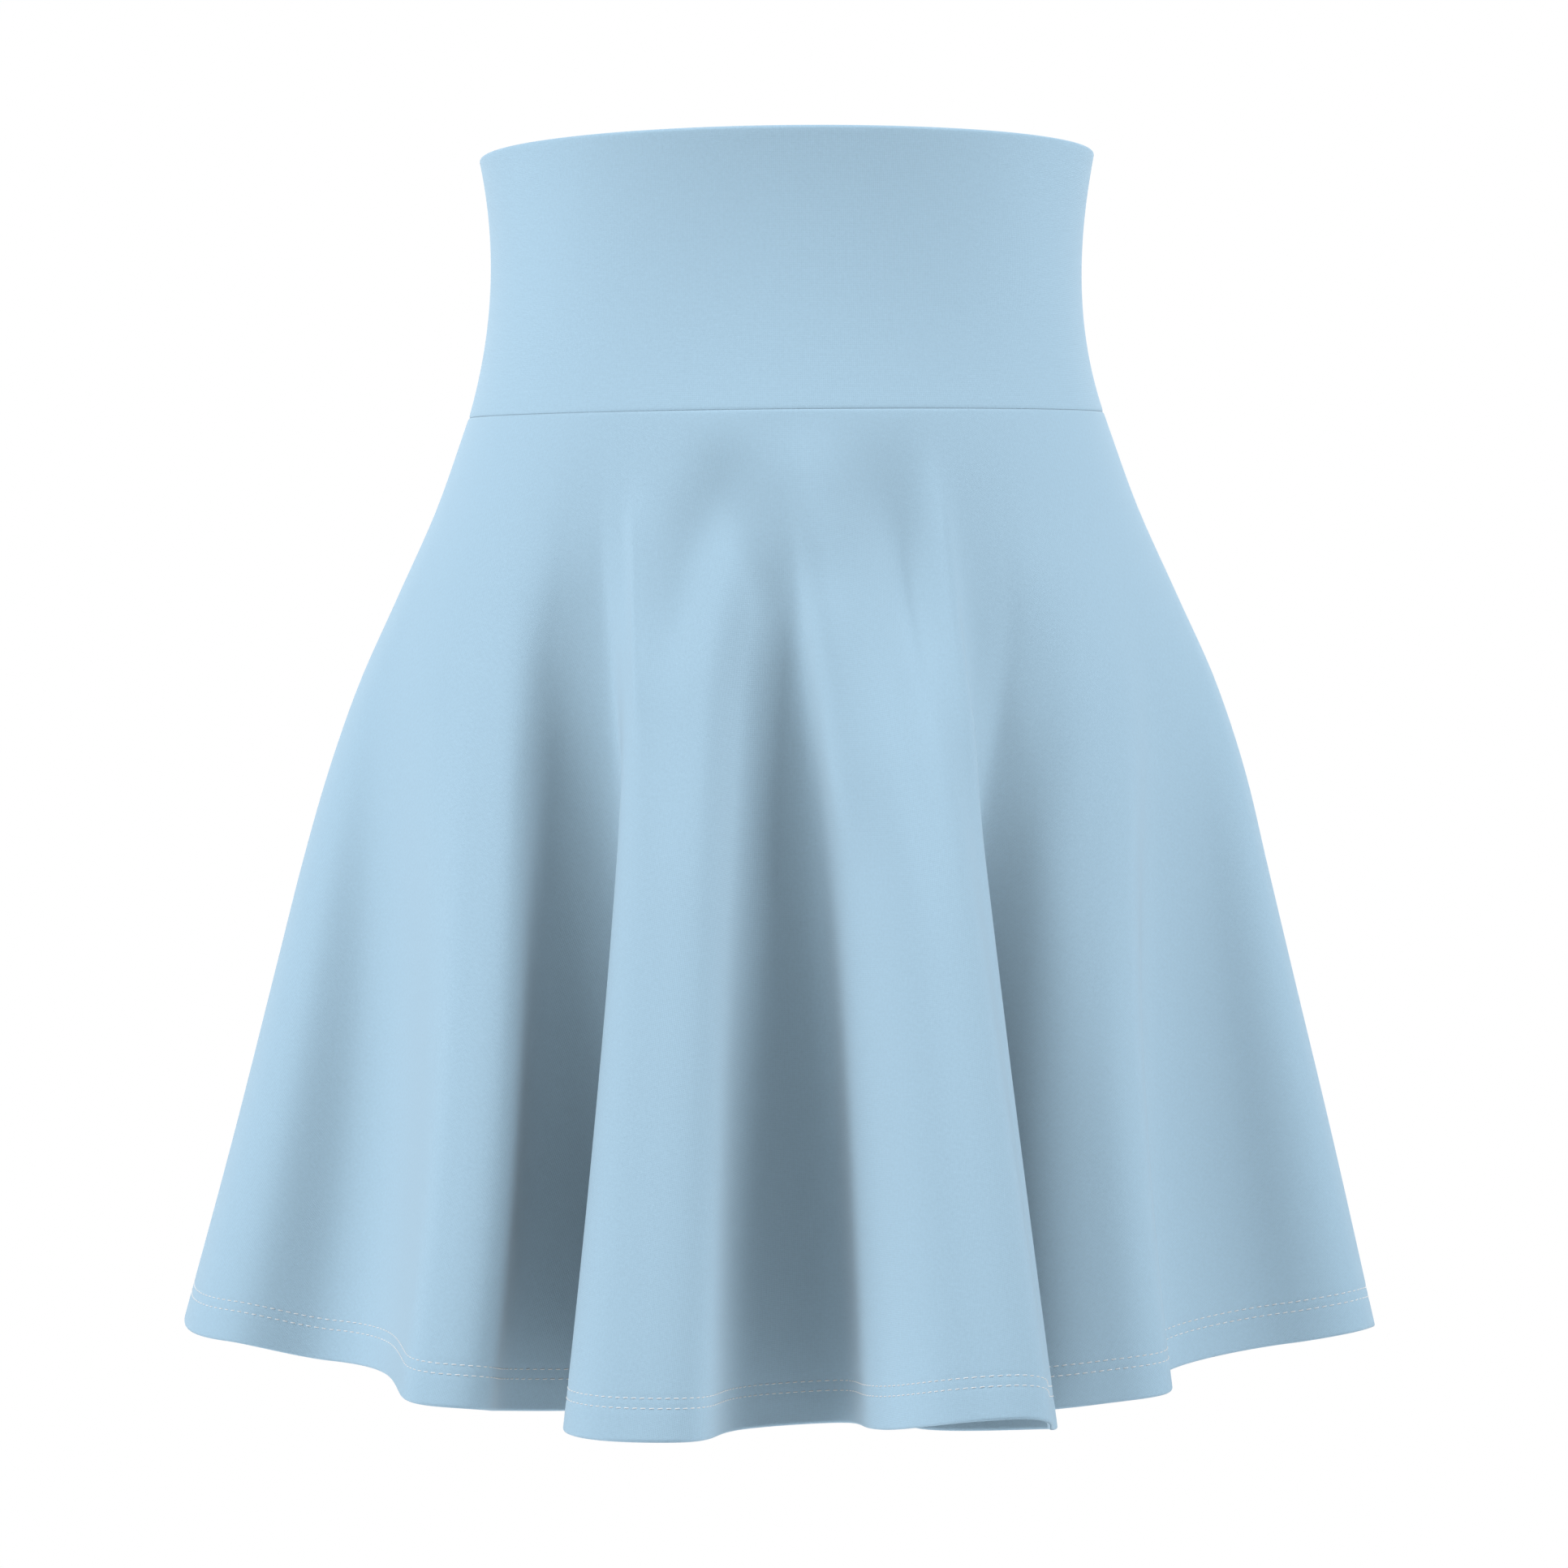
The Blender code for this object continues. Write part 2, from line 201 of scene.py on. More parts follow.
def panel_columns(panel, hem, shares):
    """Seam angles and hem rows at shares of a panel's width: equal shares hang from equal shares."""
    middle = int(np.argmax(hem[:, 0]))
    run = hem[: middle + 1] if panel == "front" else hem[middle:]
    along_hem = distances(run[:, :2])
    at = shares * along_hem[-1]
    rows = np.stack([np.interp(at, along_hem, column) for column in run.T], axis=1)
    turn = np.linspace(0, math.pi, SEAM_SAMPLES) + PANEL_START[panel]
    along_seam = distances(oval(BAND_SECTIONS[-1], turn))
    return np.interp(shares * along_seam[-1], along_seam, turn), rows


def band_section(height):
    """The band's section at a height above the waist, on a smooth curve fitted to the table."""
    table = np.array(BAND_SECTIONS)[::-1]
    fit = [np.polyfit(table[:, 0], table[:, i], BAND_CURVE_DEGREE) for i in range(1, 5)]
    return Section(height, *(float(np.polyval(f, height)) for f in fit))


def fold_growth(start, drop):
    """How far folds have come in at a share of the drop: nothing above their start, all at the hem."""
    eased = []
    for place in (0.0, drop, 1.0):
        reach = (place - start) / (1 - start)
        eased.append(reach + np.sqrt(reach**2 + FOLD_SOFTNESS**2))
    share = (eased[1] - eased[0]) / (eased[2] - eased[0])
    return share * (1 + FOLD_EARLINESS * (1 - share))


def edge_height(level, dip, slope, plan, angle):
    """The heights of the band's cloth round a section, in metres, with its dip and its side slope."""
    return level * MM - dip * np.sin(angle) + slope * plan[:, 0] * MM


def skirt_points(angle, rows, drops):
    """The outside of the skirt: points[drop, column] in metres, from the seam down to the hem."""
    seam = oval(band_section(BAND_SECTIONS[-1].height), angle)
    smooth_hem = oval(HEM_SECTION, angle)
    fold = rows[:, :2] - smooth_hem
    seam_height = edge_height(BAND_SECTIONS[-1].height, SEAM_DIP, SEAM_SLOPE, seam, angle)
    table = np.array(SPREADS)
    spreads = flowing(table[:, 0], table[:, 1:], drops)
    sideways, middle = np.cos(angle), np.sin(angle) ** 2
    right = (1 + sideways) / 2 * sideways**2
    left = (1 - sideways) / 2 * sideways**2
    weights = np.stack([right, left, middle], axis=1)
    points = []
    for drop, shares in zip(drops, spreads):
        spread = weights @ shares
        grown = fold_growth(rows[:, 3], drop)
        plan = seam + (smooth_hem - seam) * spread[:, None] + fold * grown[:, None]
        height = seam_height + (rows[:, 2] * MM - seam_height) * drop
        points.append(np.stack([plan[:, 0] * MM, -plan[:, 1] * MM, height], axis=1))
    return np.array(points)


def band_points(angle, shares):
    """The outside of the band: points[share, column], from its top edge down to the seam."""
    top, low = BAND_SECTIONS[0].height, BAND_SECTIONS[-1].height
    points = []
    for share in shares:
        level = top + (low - top) * share
        plan = oval(band_section(level), angle)
        dip = TOP_DIP + (SEAM_DIP - TOP_DIP) * share
        slope = TOP_SLOPE + (SEAM_SLOPE - TOP_SLOPE) * share
        height = edge_height(level, dip, slope, plan, angle)
        points.append(np.stack([plan[:, 0] * MM, -plan[:, 1] * MM, height], axis=1))
    return np.array(points)


def outward(points, drops):
    """Unit normals of a closed ring of cloth, front panel and back panel side by side."""
    along = np.roll(points, -1, axis=1) - np.roll(points, 1, axis=1)
    down = np.gradient(points, drops, axis=0)
    normals = np.cross(down, along)
    return normals / np.linalg.norm(normals, axis=2, keepdims=True)


# ---------------------------------------------------------------- the sewing and the creases

# The thickness of the single cloth, of the turned-up hem and of the doubled band.
SKIRT_PLY = 1.1 * MM
HEM_PLY = 2.0 * MM
BAND_PLY = 2.2 * MM
HEM_DEPTH = 18.0 * MM  # how far the cloth is turned up
HEM_STEP = 0.8 * MM  # the height over which the turned-up cloth ends
SEAM_GROOVE = 0.5 * MM  # how deep the cloth dips into the waist seam
SEAM_ROLL = 1.5 * MM  # how far from the seam that dip starts
SIDE_GROOVE = 0.45 * MM  # the same at the side seams
SIDE_ROLL = 1.6 * MM

# The twin-needle rows of the hem, by their height above its edge.
STITCH_ROWS = (11.5 * MM, 15.0 * MM)
STITCH_PITCH = 2.95 * MM
STITCH_LENGTH = 1.9 * MM
STITCH_WIDTH = 0.36 * MM
STITCH_FLATNESS = 0.8  # the thread's thickness as a share of its width
STITCH_RISE = 0.42  # how far a dash's middle stands up from the cloth, as a share of its width
STITCH_DIVE = 0.9  # how far below its middle its ends dive, as a share of its width
DIVE_POWER = 4  # the higher, the nearer to its ends it dives
STITCH_POINTS = 6  # along each dash
STITCH_SIDES = 6  # round it
STITCH_SLANT = 0.12 * MM  # how far each dash leans off its row
SLANT_CHANGE = 0.6  # the share by which that lean changes from dash to dash
SLANT_TURN = 2.4  # the step of that change, in radians
STITCH_GROOVE = 0.15 * MM  # how deep a row presses the cloth in, and how far from it
STITCH_GROOVE_WIDTH = 1.1 * MM

# Soft troughs in the cloth, and ridges where the depth is below zero. Each runs from one share of its
# panel's width to another while the drop goes from top to end, both as shares. Its rise and its fade are
# the shares of this run over which it comes in and goes out. Width and depth are in millimetres.
Crease = namedtuple("Crease", "name panel first last top end rise fade width depth")
CREASES = (
    Crease("right_valley_top", "front", 0.25, 0.26, 0.17, 0.33, 0.35, 0.35, 12, 0.8),
    Crease("right_fold_lip", "front", 0.345, 0.375, 0.06, 0.35, 0.25, 0.35, 5, -2.5),
    Crease("branch_right", "front", 0.435, 0.385, 0.01, 0.30, 0.40, 0.60, 13, 6.5),
    Crease("right_fold_shade", "front", 0.395, 0.40, 0.08, 0.50, 0.35, 0.50, 9, 3.0),
    Crease("branch_left", "front", 0.435, 0.505, 0.02, 0.26, 0.40, 0.60, 11, 3.5),
    Crease("centre_valley_top", "front", 0.50, 0.50, 0.11, 0.31, 0.35, 0.35, 9, 0.8),
    Crease("centre_lobe", "front", 0.515, 0.535, 0.01, 0.18, 0.35, 0.35, 14, -2.0),
    Crease("centre_flank", "front", 0.535, 0.56, 0.12, 0.48, 0.35, 0.35, 14, -4.0),
    Crease("dent", "front", 0.61, 0.61, 0.00, 0.38, 0.35, 0.65, 17, 8.0),
    Crease("left_fold_trough", "front", 0.615, 0.61, 0.06, 0.55, 0.30, 0.55, 10, 3.5),
    Crease("left_fold_lip", "front", 0.655, 0.65, 0.03, 0.45, 0.25, 0.35, 6, -3.5),
    Crease("left_fold_side", "front", 0.70, 0.695, 0.03, 0.38, 0.45, 0.45, 14, 3.0),
    Crease("left_valley_top", "front", 0.745, 0.77, 0.15, 0.48, 0.40, 0.40, 15, 2.0),
    Crease("back_hollow_left", "back", 0.26, 0.27, 0.14, 0.34, 0.35, 0.35, 13, 2.0),
    Crease("back_lip_left", "back", 0.35, 0.365, 0.06, 0.36, 0.35, 0.35, 5, -1.0),
    Crease("back_dent", "back", 0.395, 0.41, 0.00, 0.30, 0.35, 0.65, 13, 5.0),
    Crease("back_branch_left", "back", 0.50, 0.455, 0.02, 0.29, 0.40, 0.60, 10, 4.0),
    Crease("back_branch_right", "back", 0.505, 0.545, 0.03, 0.20, 0.35, 0.35, 12, 1.0),
    Crease("back_trough_right", "back", 0.585, 0.59, 0.11, 0.42, 0.35, 0.35, 10, 1.0),
    Crease("back_lip_right", "back", 0.64, 0.65, 0.05, 0.30, 0.35, 0.35, 6, -1.5),
    Crease("back_hollow_right", "back", 0.735, 0.73, 0.13, 0.45, 0.40, 0.40, 14, 2.0),
)

# The grids of the cloth: columns round each panel, and rows down it. The rows come closer in the hem and
# at a rounded edge, and the margins keep the even rows off such an edge.
BAND_COLUMNS = 240
BAND_ROWS = 40
BAND_MARGIN = 2.0 * MM
SKIRT_COLUMNS = 480
SKIRT_ROW = 6.8 * MM
SKIRT_ROWS_END = 21.0 * MM  # above the hem's edge
SKIRT_MARGIN = 3.0 * MM
HEM_ROW = 0.8 * MM
HEM_ROWS_START = 20.0 * MM  # above the hem's edge
HEM_MARGIN = 0.3 * MM
EDGE_ROWS = 6  # round the hem's edge, and into the waist seam from either side
FOLD_ROWS = 7  # round the band's top edge


def soft_step(x):
    """A smooth rise from 0 to 1 as x does so."""
    x = np.clip(x, 0.0, 1.0)
    return x * x * (3 - 2 * x)


def crease_depths(panel, shares, drops, widths):
    """How far the creases press the cloth in: depths[drop, column] in metres."""
    total = np.zeros((len(drops), len(shares)))
    for crease in CREASES:
        if crease.panel != panel:
            continue
        run = (drops - crease.top) / (crease.end - crease.top)
        fading = soft_step(run / crease.rise) * soft_step((1 - run) / crease.fade)
        middle = crease.first + (crease.last - crease.first) * np.clip(run, 0, 1)
        off = (shares[None, :] - middle[:, None]) * widths[:, None] / (crease.width * MM)
        total += crease.depth * MM * fading[:, None] * np.exp(-(off**2))
    return total


def groove(distance, roll, depth):
    """How far a rounded edge has drawn in at a distance from it."""
    x = 1 - np.clip(distance / roll, 0.0, 1.0)
    return depth * (1 - np.sqrt(np.clip(1 - x**2, 0.0, 1.0)))


def edge_rows(reach, count):
    """Distances of rows from a rounded edge, closest together at the edge itself."""
    return reach * (1 - np.cos(np.linspace(0, math.pi / 2, count)))


def put_in_scene(name, data):
    """A new object of this data, in the scene."""
    obj = bpy.data.objects.new(name, data)
    bpy.context.scene.collection.objects.link(obj)
    return obj


def smooth_object(name, data, material):
    """A new object of this mesh, shaded smooth and all of one material."""
    data.shade_smooth()
    data.materials.append(material)
    data.update()
    return put_in_scene(name, data)


def wall(name, outside, inside, flat, material):
    """A panel as one closed wall from its outside and inside, with the flat cut as its UV map."""
    rows, columns = outside.shape[:2]
    count = rows * columns
    points = np.concatenate([outside.reshape(-1, 3), inside.reshape(-1, 3)])
    ids = np.arange(count).reshape(rows, columns)
    a, b, c, d = ids[:-1, :-1], ids[1:, :-1], ids[1:, 1:], ids[:-1, 1:]
    quads = [np.stack([a, b, c, d], axis=-1).reshape(-1, 4)]
    quads.append(np.stack([a, d, c, b], axis=-1).reshape(-1, 4) + count)
    for line in (ids[0, ::-1], ids[-1], ids[:, -1][::-1], ids[:, 0]):
        near, far = line[:-1], line[1:]
        quads.append(np.stack([near, near + count, far + count, far], axis=-1))
    faces = np.concatenate(quads)
    data = bpy.data.meshes.new(name)
    data.from_pydata(points.tolist(), [], faces.tolist())
    chart = np.concatenate([flat.reshape(-1, 2), flat.reshape(-1, 2)])
    layer = data.uv_layers.new(name="cut")
    layer.data.foreach_set("uv", chart[faces.ravel()].ravel())
    return smooth_object(name, data, material)


def shared_normals(normals):
    """The two columns that meet at each side seam face the same way."""
    half = normals.shape[1] // 2
    for one, other in ((half - 1, half), (-1, 0)):
        both = normals[:, one] + normals[:, other]
        both /= np.linalg.norm(both, axis=1, keepdims=True)
        normals[:, one] = normals[:, other] = both
    return normals


def widths_of(points):
    """The length of cloth across each row of a panel."""
    return np.linalg.norm(np.diff(points, axis=1), axis=2).sum(axis=1)


def side_groove(shares, widths):
    """How far the cloth dips into the side seams: [row, column]."""
    near = np.minimum(shares, 1 - shares)[None, :] * widths[:, None]
    return groove(near, SIDE_ROLL, SIDE_GROOVE)


def thread(path, up):
    """The vertices and faces of one stitch: a flattened tube along a path, closed at its ends."""
    sides = STITCH_SIDES
    along = np.gradient(path, axis=0)
    along /= np.linalg.norm(along, axis=1, keepdims=True)
    across = np.cross(along, up)
    across /= np.linalg.norm(across, axis=1, keepdims=True)
    turn = np.linspace(0, 2 * math.pi, sides, endpoint=False)
    ring = (
        path[:, None]
        + across[:, None] * (np.cos(turn) * STITCH_WIDTH / 2)[None, :, None]
        + up[:, None] * (np.sin(turn) * STITCH_WIDTH * STITCH_FLATNESS / 2)[None, :, None]
    )
    verts = ring.reshape(-1, 3)
    faces = []
    for i in range(len(path) - 1):
        for j in range(sides):
            k = (j + 1) % sides
            faces.append((i * sides + j, i * sides + k, (i + 1) * sides + k, (i + 1) * sides + j))
    faces.append(tuple(range(sides))[::-1])
    faces.append(tuple(range(len(verts) - sides, len(verts))))
    return verts, faces


def join_threads(name, threads, material):
    """One object from the stitches of both rows of a panel."""
    verts, faces, start = [], [], 0
    for points, polygons in threads:
        verts.append(points)
        faces += [tuple(start + i for i in polygon) for polygon in polygons]
        start += len(points)
    data = bpy.data.meshes.new(name)
    data.from_pydata(np.concatenate(verts).tolist(), [], faces)
    return smooth_object(name, data, material)


def line_at(points, lengths, height):
    """The row of points that lies a height above the hem, measured along the cloth."""
    above = lengths[-1][None, :] - lengths
    line = np.empty((points.shape[1], 3))
    for j in range(points.shape[1]):
        for k in range(3):
            line[j, k] = np.interp(height, above[::-1, j], points[::-1, j, k])
    return line


def stitch_row(points, normals, lengths, height):
    """The dashes of thread along one sewn row."""
    line = line_at(points, lengths, height)
    facing = line_at(normals, lengths, height)
    run = distances(line)
    count = int(round(run[-1] / STITCH_PITCH))
    pitch = run[-1] / count
    dashes = []
    for i in range(count):
        reach = np.linspace(0, 1, STITCH_POINTS)
        at = (i + 0.5) * pitch + (reach - 0.5) * STITCH_LENGTH
        path = np.stack([np.interp(at, run, line[:, k]) for k in range(3)], axis=1)
        lean = STITCH_SLANT * (1 + SLANT_CHANGE * math.sin(SLANT_TURN * i))
        path[:, 2] += lean * (reach - 0.5)
        up = np.stack([np.interp(at, run, facing[:, k]) for k in range(3)], axis=1)
        up /= np.linalg.norm(up, axis=1, keepdims=True)
        lift = STITCH_WIDTH * (STITCH_RISE - STITCH_DIVE * np.abs(2 * reach - 1) ** DIVE_POWER)
        dashes.append(thread(path + up * lift[:, None], up))
    return dashes


def sector_chart(shares, places):
    """The flat cut of a skirt panel: where each point of its grid lies, with the seam at the top."""
    radius = (SEAM_RADIUS + places)[:, None]
    turn = ((shares - 0.5) * SECTOR)[None, :]
    return np.stack([radius * np.sin(turn), -radius * np.cos(turn)], axis=-1)


def skirt_panel(panel, surface, facing, shares, places):
    """The outside and inside of a skirt panel's cloth, and the lengths down it to each of its points."""
    steps = np.linalg.norm(np.diff(surface, axis=0), axis=2)
    runs = np.concatenate([np.zeros((1, len(shares))), np.cumsum(steps, axis=0)])
    above = runs[-1][None, :] - runs
    widths = widths_of(surface)
    at_sides = side_groove(shares, widths)
    at_edge = groove(above, HEM_PLY / 2, HEM_PLY / 2)
    pressed = crease_depths(panel, shares, places / CLOTH_LENGTH, widths)
    pressed += groove(runs, SEAM_ROLL, SEAM_GROOVE)
    pressed += at_sides
    for height in STITCH_ROWS:
        pressed += STITCH_GROOVE * np.exp(-(((above - height) / STITCH_GROOVE_WIDTH) ** 2))
    turned = soft_step((HEM_DEPTH - above) / HEM_STEP + 0.5)
    ply = SKIRT_PLY + (HEM_PLY - SKIRT_PLY) * turned
    inner = np.maximum(pressed - at_sides, 0) + ply - at_edge
    outside = surface - facing * (pressed + at_edge)[..., None]
    return outside, surface - facing * inner[..., None], runs


def make_skirt(cloth, thread_white):
    """The two skirt panels, each with the stitches of its hem."""
    hem = hem_line()
    shares = np.linspace(0, 1, SKIRT_COLUMNS)
    columns = [panel_columns(panel, hem, shares) for panel in PANEL_START]
    angle, rows = (np.concatenate(both) for both in zip(*columns))
    places = np.concatenate(
        [
            edge_rows(SEAM_ROLL, EDGE_ROWS),
            np.arange(SEAM_ROLL + SKIRT_MARGIN, CLOTH_LENGTH - SKIRT_ROWS_END, SKIRT_ROW),
            CLOTH_LENGTH - np.arange(HEM_ROWS_START, HEM_PLY / 2 + HEM_MARGIN, -HEM_ROW),
            CLOTH_LENGTH - edge_rows(HEM_PLY / 2, EDGE_ROWS)[::-1],
        ]
    )
    drops = places / CLOTH_LENGTH
    points = skirt_points(angle, rows, drops)
    normals = shared_normals(outward(points, drops))
    flat = sector_chart(shares, places)
    for i, panel in enumerate(PANEL_START):
        span = slice(i * SKIRT_COLUMNS, (i + 1) * SKIRT_COLUMNS)
        facing = normals[:, span]
        outside, inside, runs = skirt_panel(panel, points[:, span], facing, shares, places)
        obj = wall(f"skirt_{panel}_cloth", outside, inside, flat, cloth)
        dashes = []
        for height in STITCH_ROWS:
            dashes += stitch_row(outside, facing, runs, height)
        stitches = join_threads(f"hem_stitches_{panel}", dashes, thread_white)
        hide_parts(f"skirt_{panel}")
        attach(obj, BODY)
        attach(stitches, BODY)


def make_band(cloth):
    """The two halves of the waistband, doubled and folded at the top edge."""
    shares = np.linspace(0, 1, BAND_COLUMNS)
    angle = np.concatenate([start + math.pi * shares for start in PANEL_START.values()])
    length = (BAND_SECTIONS[0].height - BAND_SECTIONS[-1].height) * MM
    places = np.concatenate(
        [
            edge_rows(BAND_PLY / 2, FOLD_ROWS),
            np.linspace(BAND_PLY / 2 + BAND_MARGIN, length - SEAM_ROLL - BAND_MARGIN, BAND_ROWS),
            length - edge_rows(SEAM_ROLL, EDGE_ROWS)[::-1],
        ]
    )
    drops = places / length
    points = band_points(angle, drops)
    normals = shared_normals(outward(points, drops))
    across, below_top = np.meshgrid(shares * BAND_FLAT[0], places)
    at_fold = groove(below_top, BAND_PLY / 2, BAND_PLY / 2)
    at_seam = groove(length - below_top, SEAM_ROLL, SEAM_GROOVE)
    flat = np.stack([across, -below_top], axis=-1)
    for i, panel in enumerate(PANEL_START):
        span = slice(i * BAND_COLUMNS, (i + 1) * BAND_COLUMNS)
        surface, facing = points[:, span], normals[:, span]
        pressed = at_seam + side_groove(shares, widths_of(surface))
        outside = surface - facing * (pressed + at_fold)[..., None]
        inside = surface - facing * (BAND_PLY - at_fold)[..., None]
        obj = wall(f"waistband_{panel}_cloth", outside, inside, flat, cloth)
        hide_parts(f"waistband_{panel}")
        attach(obj, BODY)


# ---------------------------------------------------------------- materials

CLOTH_COLOUR = (0.415, 0.615, 0.775)
CLOTH_SHADES = (0.93, 1.07)  # the darkest and lightest of the dye, as shares of that colour
MOTTLE_SIZE = 1.1 * MM
PASSED_ON = (0.48, 0.48, 0.48)  # the grey by which cloth lights other cloth, so deep folds keep its hue
WALE = 0.70 * MM  # how far apart the columns of loops lie
COURSE = 0.50 * MM  # how far apart the rows of loops lie
KNIT_RELIEF = 0.08 * MM
THREAD_SHADES = ((0.76, 0.83, 0.89), (0.90, 0.94, 0.97))  # the darkest and lightest of the thread
FIBRE_SIZE = 0.4 * MM
WAVE_REPEAT = math.pi / 10  # how far apart the bands of a wave texture lie at a scale of 1
FLOOR_COLOUR = (0.86, 0.86, 0.86)


def link(tree, start, out, end, into):
    """Joins an output of one node to an input of another."""
    tree.links.new(start.outputs[out], end.inputs[into])


def new_material(name, roughness):
    """A material with its node tree and its shader."""
    material = bpy.data.materials.new(name)
    material.use_nodes = True
    shader = material.node_tree.nodes["Principled BSDF"]
    shader.inputs["Roughness"].default_value = roughness
    return material, material.node_tree, shader


def mixed(tree, factor, out):
    """A node that mixes two colours by an output of another node."""
    mix = tree.nodes.new("ShaderNodeMix")
    mix.data_type = "RGBA"
    link(tree, factor, out, mix, "Factor")
    return mix


def noise(tree, place, out, size):
    """A noise texture of grains of one size, laid out by an output of another node."""
    node = tree.nodes.new("ShaderNodeTexNoise")
    node.inputs["Scale"].default_value = 1 / size
    link(tree, place, out, node, "Vector")
    return node


def knit(name):
    """Fine plain knit: wales and courses in relief on the flat cut, and a faint mottling of the dye."""
    material, tree, shader = new_material(name, roughness=0.85)
    shader.inputs["Sheen Weight"].default_value = 0.15
    shader.inputs["Sheen Roughness"].default_value = 0.5
    shader.inputs["Specular IOR Level"].default_value = 0.25
    cut = tree.nodes.new("ShaderNodeUVMap")
    cut.uv_map = "cut"
    waves = []
    for direction, pitch in (("X", WALE), ("Y", COURSE)):
        wave = tree.nodes.new("ShaderNodeTexWave")
        wave.wave_type = "BANDS"
        wave.bands_direction = direction
        wave.inputs["Scale"].default_value = WAVE_REPEAT / pitch
        wave.inputs["Distortion"].default_value = 0.6
        wave.inputs["Detail"].default_value = 1.0
        wave.inputs["Detail Scale"].default_value = 0.4
        link(tree, cut, "UV", wave, "Vector")
        waves.append(wave)
    loops = tree.nodes.new("ShaderNodeMath")
    loops.operation = "MULTIPLY"
    link(tree, waves[0], "Fac", loops, 0)
    link(tree, waves[1], "Fac", loops, 1)
    bump = tree.nodes.new("ShaderNodeBump")
    bump.inputs["Strength"].default_value = 0.6
    bump.inputs["Distance"].default_value = KNIT_RELIEF
    link(tree, loops, "Value", bump, "Height")
    link(tree, bump, "Normal", shader, "Normal")
    mottle = noise(tree, cut, "UV", MOTTLE_SIZE)
    mottle.inputs["Detail"].default_value = 3.0
    shade = mixed(tree, mottle, "Fac")
    for end, share in zip("AB", CLOTH_SHADES):
        shade.inputs[end].default_value = (*(c * share for c in CLOTH_COLOUR), 1)
    path = tree.nodes.new("ShaderNodeLightPath")
    passed_on = mixed(tree, path, "Is Diffuse Ray")
    link(tree, shade, "Result", passed_on, "A")
    passed_on.inputs["B"].default_value = (*PASSED_ON, 1)
    link(tree, passed_on, "Result", shader, "Base Color")
    return material


def sewing_thread(name):
    """White thread, with its twist as a faint change of shade."""
    material, tree, shader = new_material(name, roughness=0.55)
    shader.inputs["Sheen Weight"].default_value = 0.2
    place = tree.nodes.new("ShaderNodeTexCoord")
    fibre = noise(tree, place, "Object", FIBRE_SIZE)
    shade = mixed(tree, fibre, "Fac")
    for end, colour in zip("AB", THREAD_SHADES):
        shade.inputs[end].default_value = (*colour, 1)
    link(tree, shade, "Result", shader, "Base Color")
    return material


def matt_paint(name):
    """The floor's even pale paint."""
    material, _, shader = new_material(name, roughness=0.9)
    shader.inputs["Base Color"].default_value = (*FLOOR_COLOUR, 1)
    return material


def glowing_paper(name):
    """An even white that needs no lamp."""
    material = bpy.data.materials.new(name)
    material.use_nodes = True
    tree = material.node_tree
    glow = tree.nodes.new("ShaderNodeEmission")
    link(tree, glow, "Emission", tree.nodes["Material Output"], "Surface")
    return material


# ---------------------------------------------------------------- stage, light and camera

# The camera stands in front and looks level.
CAMERA_DISTANCE = 1.7
CAMERA_HEIGHT = -0.194
SENSOR = 36.0  # in millimetres
PIXELS_PER_METRE = 3200.0  # in the plane that parts the front from the back
FRAME_PIXELS = 1932
FLOOR_HEIGHT = -1.02
FLOOR_RADIUS = 2.4
SURROUND_RADIUS = 6.0
AIM = Vector((0.0, 0.0, -0.2))  # where the lamps point

# Square lamps, all at one distance from the skirt and turned to it. Azimuth 0 is in front, and grows
# towards +X, the wearer's left. Power is in watts.
LAMP_SIZE = 1.0
LAMP_DISTANCE = 2.2
Lamp = namedtuple("Lamp", "name azimuth elevation power")
LAMPS = (
    Lamp("left_key", 65, 35, 31.0),
    Lamp("right_key", -60, 45, 26.0),
    Lamp("right_fill", -65, 0, 12.0),
    Lamp("rear_left", 155, 25, 16.0),
    Lamp("rear_right", -155, 25, 16.0),
)
DOME = 0.25  # the strength of the white light from all round


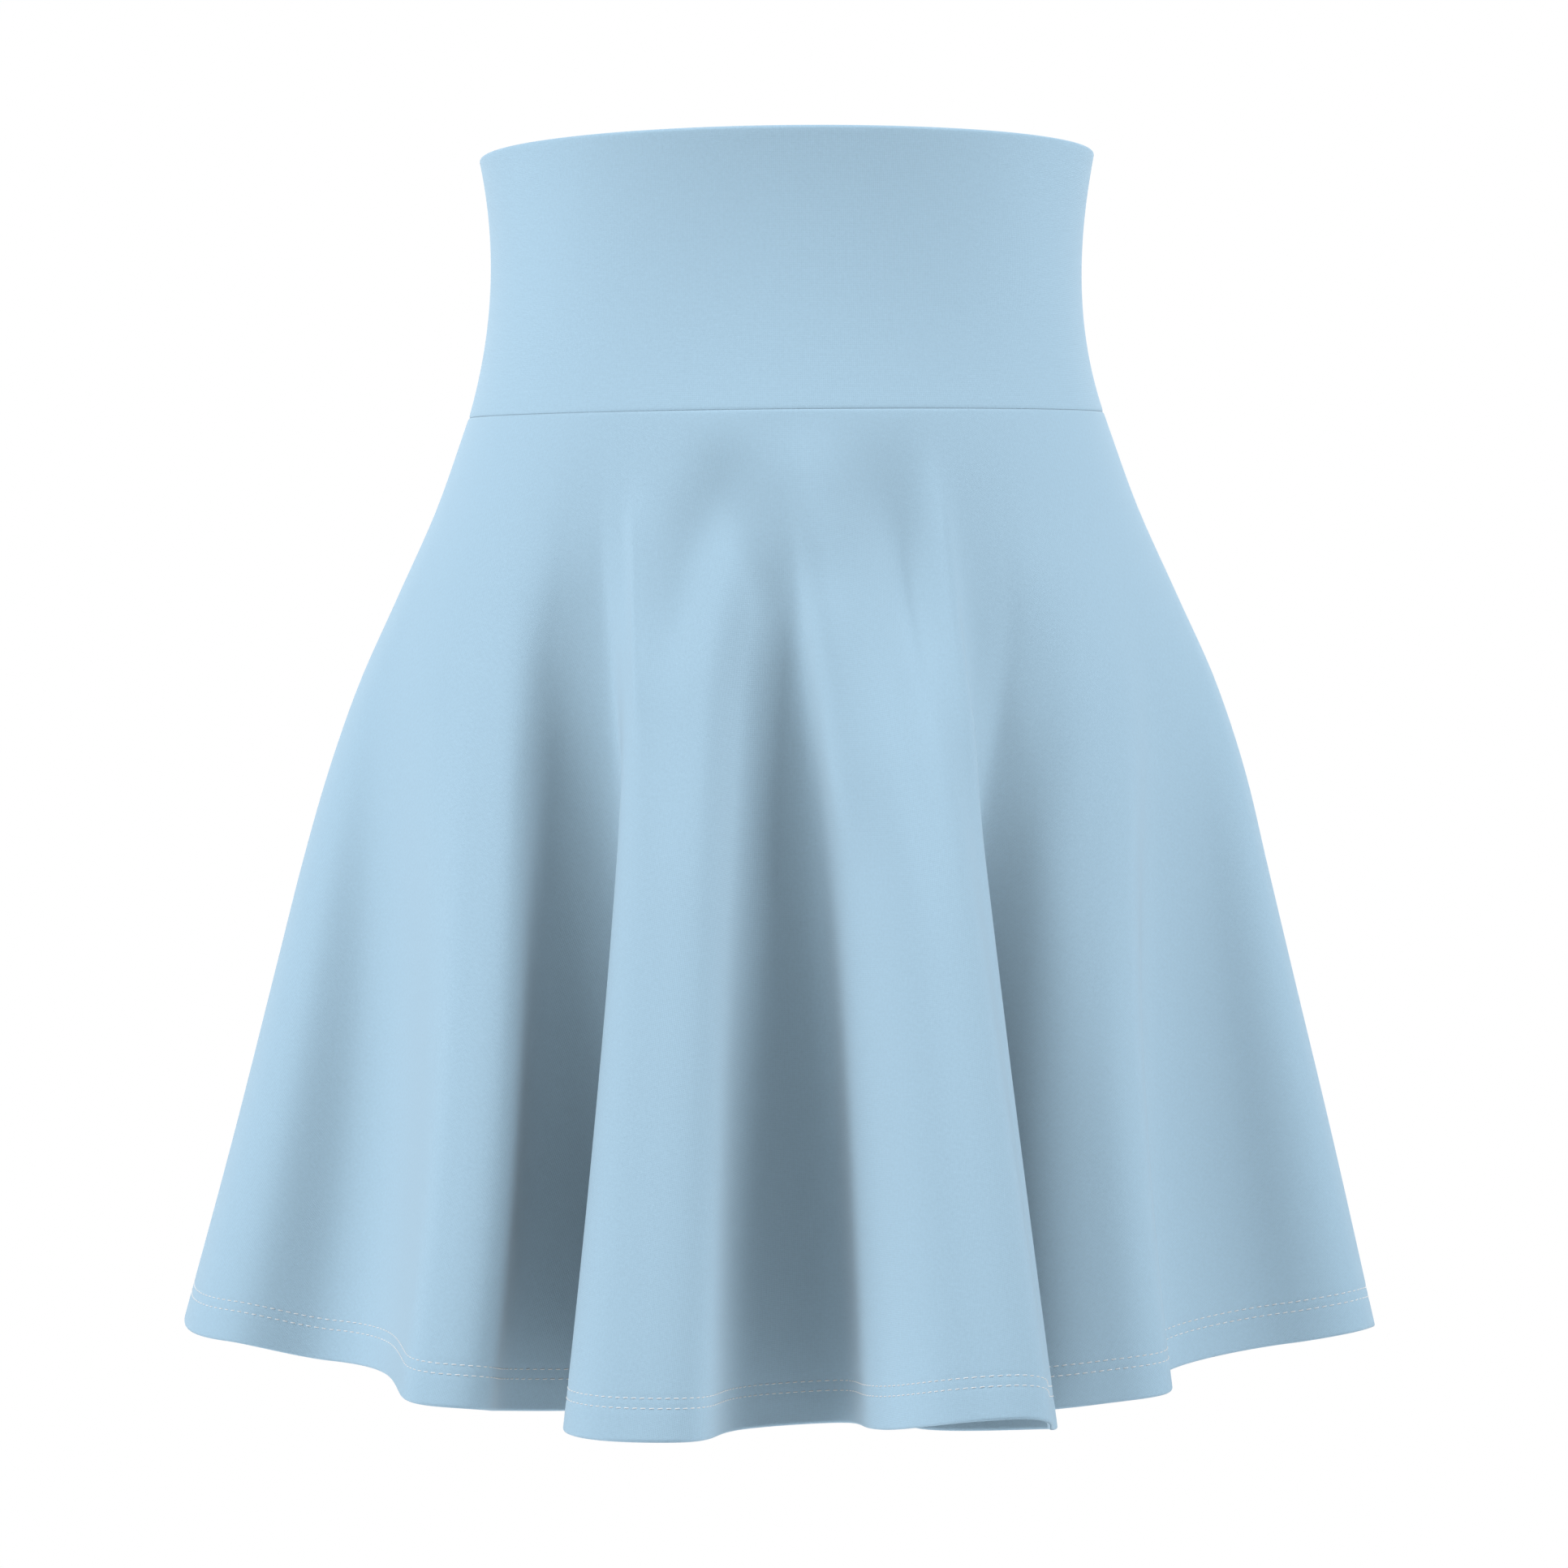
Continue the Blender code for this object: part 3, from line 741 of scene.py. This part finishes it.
def add_lamps():
    """The lamps, and the even white light from all round."""
    for lamp in LAMPS:
        azimuth, elevation = math.radians(lamp.azimuth), math.radians(lamp.elevation)
        level = math.cos(elevation)
        way = Vector((math.sin(azimuth) * level, -math.cos(azimuth) * level, math.sin(elevation)))
        light = bpy.data.lights.new(lamp.name, "AREA")
        light.shape = "SQUARE"
        light.size = LAMP_SIZE
        light.energy = lamp.power
        obj = put_in_scene(lamp.name, light)
        obj.location = AIM + way * LAMP_DISTANCE
        obj.rotation_euler = (-way).to_track_quat("-Z", "Y").to_euler()
    world = bpy.data.worlds.new("studio")
    world.use_nodes = True
    background = world.node_tree.nodes["Background"]
    background.inputs["Color"].default_value = (1, 1, 1, 1)
    background.inputs["Strength"].default_value = DOME
    bpy.context.scene.world = world


def add_stage():
    """A pale floor, and a white surround that only the camera sees."""
    bpy.ops.mesh.primitive_circle_add(
        vertices=128, radius=FLOOR_RADIUS, fill_type="NGON", location=(0, 0, FLOOR_HEIGHT)
    )
    floor = bpy.context.object
    floor.name = "floor"
    floor.data.materials.append(matt_paint("floor_paint"))
    bpy.ops.mesh.primitive_uv_sphere_add(segments=48, ring_count=24, radius=SURROUND_RADIUS)
    surround = bpy.context.object
    surround.name = "surround"
    surround.data.materials.append(glowing_paper("white_paper"))
    for kind in ("diffuse", "glossy", "transmission", "volume_scatter", "shadow"):
        setattr(surround, f"visible_{kind}", False)


def add_camera():
    """The camera, with the lens that gives the scale above."""
    data = bpy.data.cameras.new("camera")
    data.sensor_width = SENSOR
    data.lens = PIXELS_PER_METRE * CAMERA_DISTANCE / FRAME_PIXELS * SENSOR
    camera = put_in_scene("camera", data)
    camera.location = (0, -CAMERA_DISTANCE, CAMERA_HEIGHT)
    camera.rotation_euler = (math.radians(90), 0, 0)
    bpy.context.scene.camera = camera


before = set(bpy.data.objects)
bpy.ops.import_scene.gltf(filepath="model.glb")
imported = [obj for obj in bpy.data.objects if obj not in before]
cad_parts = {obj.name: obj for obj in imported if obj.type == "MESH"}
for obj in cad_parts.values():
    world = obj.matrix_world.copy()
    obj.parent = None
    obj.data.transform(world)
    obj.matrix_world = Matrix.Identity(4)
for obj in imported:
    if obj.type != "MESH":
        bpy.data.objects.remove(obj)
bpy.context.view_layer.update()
cloth = knit("pale_blue_knit")
make_band(cloth)
make_skirt(cloth, sewing_thread("white_thread"))
add_stage()
add_lamps()
add_camera()
bpy.context.scene.view_settings.view_transform = "Standard"
